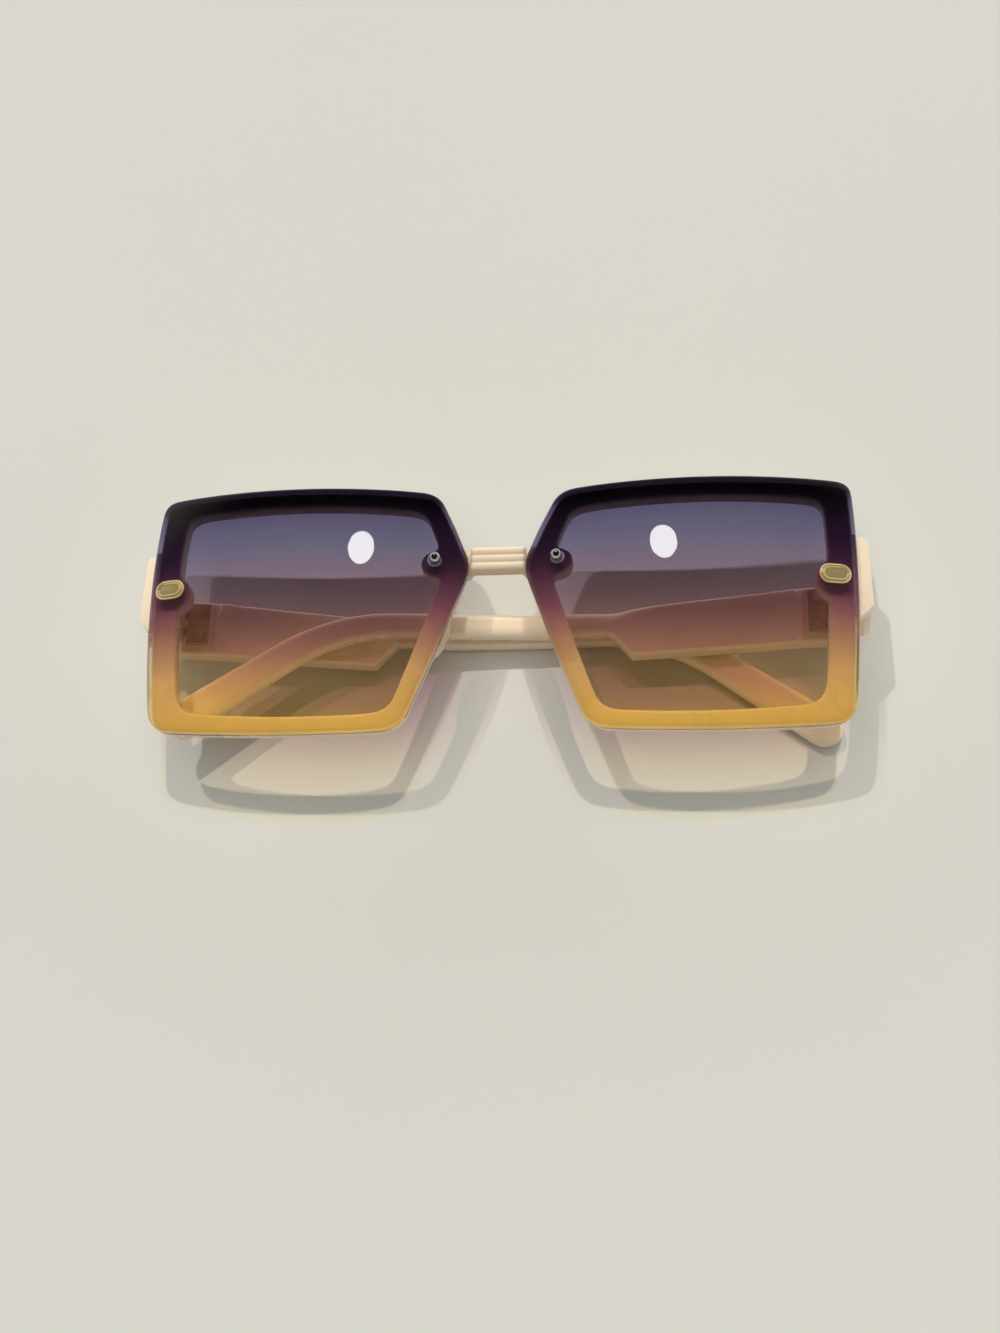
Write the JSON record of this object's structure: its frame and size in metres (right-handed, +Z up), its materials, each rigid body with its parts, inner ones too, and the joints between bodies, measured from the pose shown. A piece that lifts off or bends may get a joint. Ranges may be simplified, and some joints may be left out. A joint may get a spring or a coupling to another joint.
{
  "type": "square sunglasses",
  "caption": "Square oversized sunglasses with gradient lens plates fixed on the front of a moulded frame, and two folding temples on barrel hinges.",
  "frame": {"origin": "bottom centre of the bounding box of the glasses as they lie, face up, on their folded temples", "axes": "+X to the right of the picture along the front, +Y towards the brow edge, +Z up out of the lens fronts"},
  "size_m": [0.148, 0.0536, 0.0264],
  "materials": {
    "frame_plastic": "glossy warm cream moulded plastic",
    "gradient_lens": "polished tinted plastic, dark plum at the top fading through rose to amber at the bottom",
    "chrome": "bright polished chrome",
    "gold": "polished gold-coloured plating",
    "hinge_metal": "satin nickel-coloured metal",
    "screw_metal": "bright steel",
    "clear_washer": "clear soft plastic"
  },
  "bodies": {
    "left_temple": {"left_temple": "frame_plastic", "left_temple_hinge_leaf": "hinge_metal", "left_temple_leaf_rivets": "hinge_metal"},
    "front": {"frame_front": "frame_plastic", "left_lens": "gradient_lens", "right_lens": "gradient_lens", "nose_studs": "chrome", "nose_stud_washers": "clear_washer", "nose_stud_nuts": "chrome", "left_oval_cap": "gold", "right_oval_cap": "gold", "cap_washers": "clear_washer", "cap_nuts": "gold", "left_front_hinge_leaf": "hinge_metal", "right_front_hinge_leaf": "hinge_metal", "front_leaf_rivets": "hinge_metal", "left_hinge_screw": "screw_metal", "right_hinge_screw": "screw_metal"},
    "right_temple": {"right_temple": "frame_plastic", "right_temple_hinge_leaf": "hinge_metal", "right_temple_leaf_rivets": "hinge_metal"}
  },
  "joints": [
    {"name": "left_hinge", "type": "hinge", "parent": "left_temple", "child": "front", "pos_m": [-0.0682, 0.0026, 0.01039], "axis": [0, -1, 0], "range_deg": [0, 85.6]},
    {"name": "right_hinge", "type": "hinge", "parent": "front", "child": "right_temple", "pos_m": [0.0682, 0.0026, 0.01039], "axis": [0, -1, 0], "range_deg": [0, 90]}
  ],
  "couplings": [
    {"joint": "right_hinge", "follows": "left_hinge", "ratio": 0.2}
  ]
}
